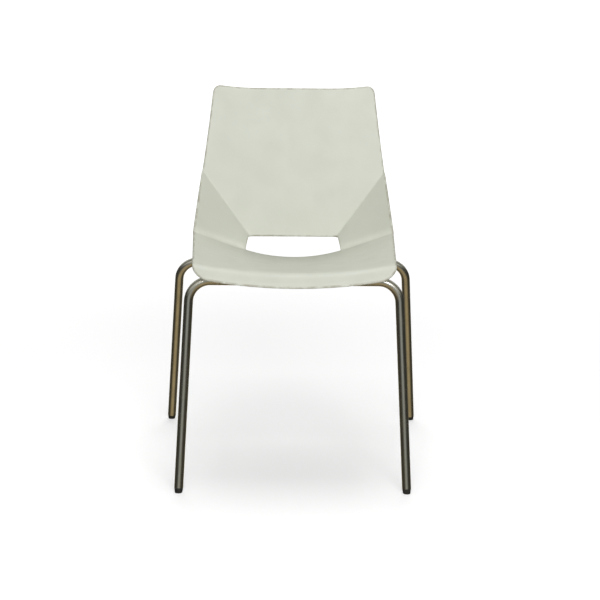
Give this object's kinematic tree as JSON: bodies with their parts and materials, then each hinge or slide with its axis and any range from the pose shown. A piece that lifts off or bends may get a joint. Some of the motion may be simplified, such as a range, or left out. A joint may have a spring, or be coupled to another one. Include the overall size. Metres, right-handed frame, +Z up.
{
  "type": "stacking chair",
  "caption": "Stacking chair with a one-piece moulded shell, a slot between seat and back, and a bent round-tube frame with splayed legs.",
  "frame": {"origin": "middle of the chair's footprint box, on the floor", "axes": "+Z up, +Y to the back of the chair, the sitter faces -Y, +X to the right seen from the front"},
  "size_m": [0.5876, 0.512, 0.7945],
  "materials": {
    "shell": "fine moulded texture, warm off-white",
    "tube": "satin nickel-chrome plate",
    "fastener": "zinc plated",
    "insert": "turned",
    "glide": "black nylon"
  },
  "bodies": {
    "root": {"seat_shell": "shell", "front_leg_frame": "tube", "rear_leg_frame": "tube", "side_rail_left": "tube", "mount_tab_front_left": "tube", "thread_insert_front_left": "insert", "washer_front_left": "fastener", "screw_front_left": "fastener", "foot_glide_front_left": "glide", "mount_tab_rear_left": "tube", "thread_insert_rear_left": "insert", "washer_rear_left": "fastener", "screw_rear_left": "fastener", "foot_glide_rear_left": "glide", "side_rail_right": "tube", "mount_tab_front_right": "tube", "thread_insert_front_right": "insert", "washer_front_right": "fastener", "screw_front_right": "fastener", "foot_glide_front_right": "glide", "mount_tab_rear_right": "tube", "thread_insert_rear_right": "insert", "washer_rear_right": "fastener", "screw_rear_right": "fastener", "foot_glide_rear_right": "glide"}
  },
  "joints": []
}
